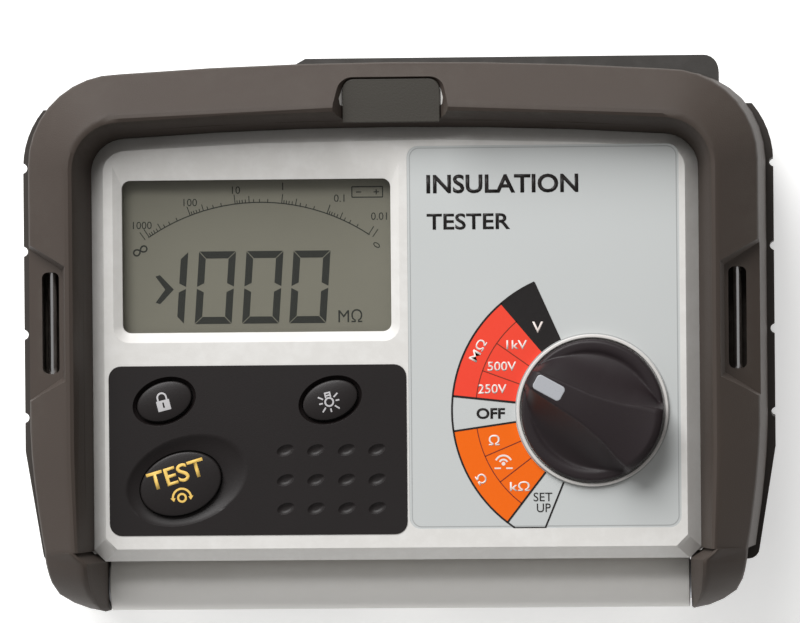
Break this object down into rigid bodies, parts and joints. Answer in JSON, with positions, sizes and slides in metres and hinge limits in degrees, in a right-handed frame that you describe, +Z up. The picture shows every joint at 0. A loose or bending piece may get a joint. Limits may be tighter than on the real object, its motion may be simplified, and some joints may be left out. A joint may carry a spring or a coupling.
{
  "type": "insulation resistance tester",
  "caption": "Handheld insulation resistance tester with a display, keys, a range knob, rear test-lead sockets, a rubber bumper and a lid that folds under the case.",
  "frame": {"origin": "centre of the footprint, on the table the feet stand on", "axes": "+X across the panel from the display side to the knob side; +Y from the hinge edge to the socket edge; +Z up, out of the panel"},
  "size_m": [0.202, 0.148, 0.075],
  "materials": {
    "case_light": "fine-textured moulded ABS",
    "case_dark": "textured moulded ABS",
    "bumper": "matt overmoulded rubber",
    "seal": "plain",
    "key_panel": "smooth moulded rubber",
    "keys": "satin moulded rubber",
    "knob": "satin moulded plastic",
    "knob_ring": "satin",
    "marker": "inlaid",
    "label": "printed polycarbonate sheet",
    "window": "clear moulded plastic",
    "lcd": "liquid crystal glass",
    "backlight": "clear light guide",
    "plated": "bright plated",
    "steel": "plain",
    "brass": "plated",
    "board": "solder-masked glass fibre board",
    "chip": "moulded package",
    "component": "moulded package",
    "winding": "varnished winding",
    "can": "sleeved can",
    "cell": "sleeved dry cell",
    "socket_red": "moulded",
    "socket_black": "moulded",
    "socket_blue": "moulded"
  },
  "bodies": {
    "body": {"upper_case": "case_light", "upper_bumper": "bumper", "latch_plate": "case_dark", "lower_case": "case_dark", "side_grip_left": "bumper", "side_grip_right": "bumper", "case_seal": "seal", "case_screws": "steel", "strap_bar_left": "plated", "strap_bar_right": "plated", "display_window": "window", "display_seal": "seal", "lcd_module": "lcd", "backlight_guide": "backlight", "range_label": "label", "knob_ring": "knob_ring", "key_panel": "key_panel", "key_mat": "seal", "rotary_switch": "component", "main_board": "board", "board_screws": "steel", "microcontroller": "chip", "measuring_chips": "chip", "sounder": "chip", "inverter_transformer": "winding", "relays": "component", "capacitors": "can", "inductor": "winding", "fuse": "backlight", "fuse_clips": "brass", "battery_connector": "component", "battery_cells": "cell", "battery_springs": "steel", "battery_contacts": "brass", "battery_door": "case_dark", "battery_door_screw": "steel", "socket_panel": "key_panel", "socket_positive": "socket_red", "socket_negative": "socket_black", "socket_guard": "socket_blue", "socket_contacts": "brass", "hinge_stubs": "steel"},
    "link": {"lid_link": "case_light", "lid_hinge_pin": "steel"},
    "lid": {"lid": "case_dark", "lid_label": "label"},
    "knob": {"range_knob": "knob", "knob_marker": "marker", "switch_spindle": "component"},
    "lock_button": {"lock_key": "keys"},
    "backlight_button": {"backlight_key": "keys"},
    "test_button": {"test_key": "keys"}
  },
  "joints": [
    {"name": "lid_link_swing", "type": "hinge", "parent": "body", "child": "link", "pos_m": [0, -0.0665, 0.042], "axis": [-1, 0, 0], "range_deg": [0, 180]},
    {"name": "lid_swing", "type": "hinge", "parent": "link", "child": "lid", "pos_m": [0, -0.0665, 0.0072], "axis": [-1, 0, 0], "range_deg": [0, 180]},
    {"name": "range_turn", "type": "hinge", "parent": "body", "child": "knob", "pos_m": [0.0525, -0.0209, 0.062], "axis": [0, 0, 1], "range_deg": [-30, 90]},
    {"name": "lock_press", "type": "slide", "parent": "body", "child": "lock_button", "axis": [0, 0, -1], "range_m": [0, 0.0012], "stiffness_N_per_m": 900},
    {"name": "backlight_press", "type": "slide", "parent": "body", "child": "backlight_button", "axis": [0, 0, -1], "range_m": [0, 0.0012], "stiffness_N_per_m": 900},
    {"name": "test_press", "type": "slide", "parent": "body", "child": "test_button", "axis": [0, 0, -1], "range_m": [0, 0.0012], "stiffness_N_per_m": 900}
  ],
  "couplings": [
    {"joint": "lid_swing", "follows": "lid_link_swing", "ratio": 1}
  ]
}
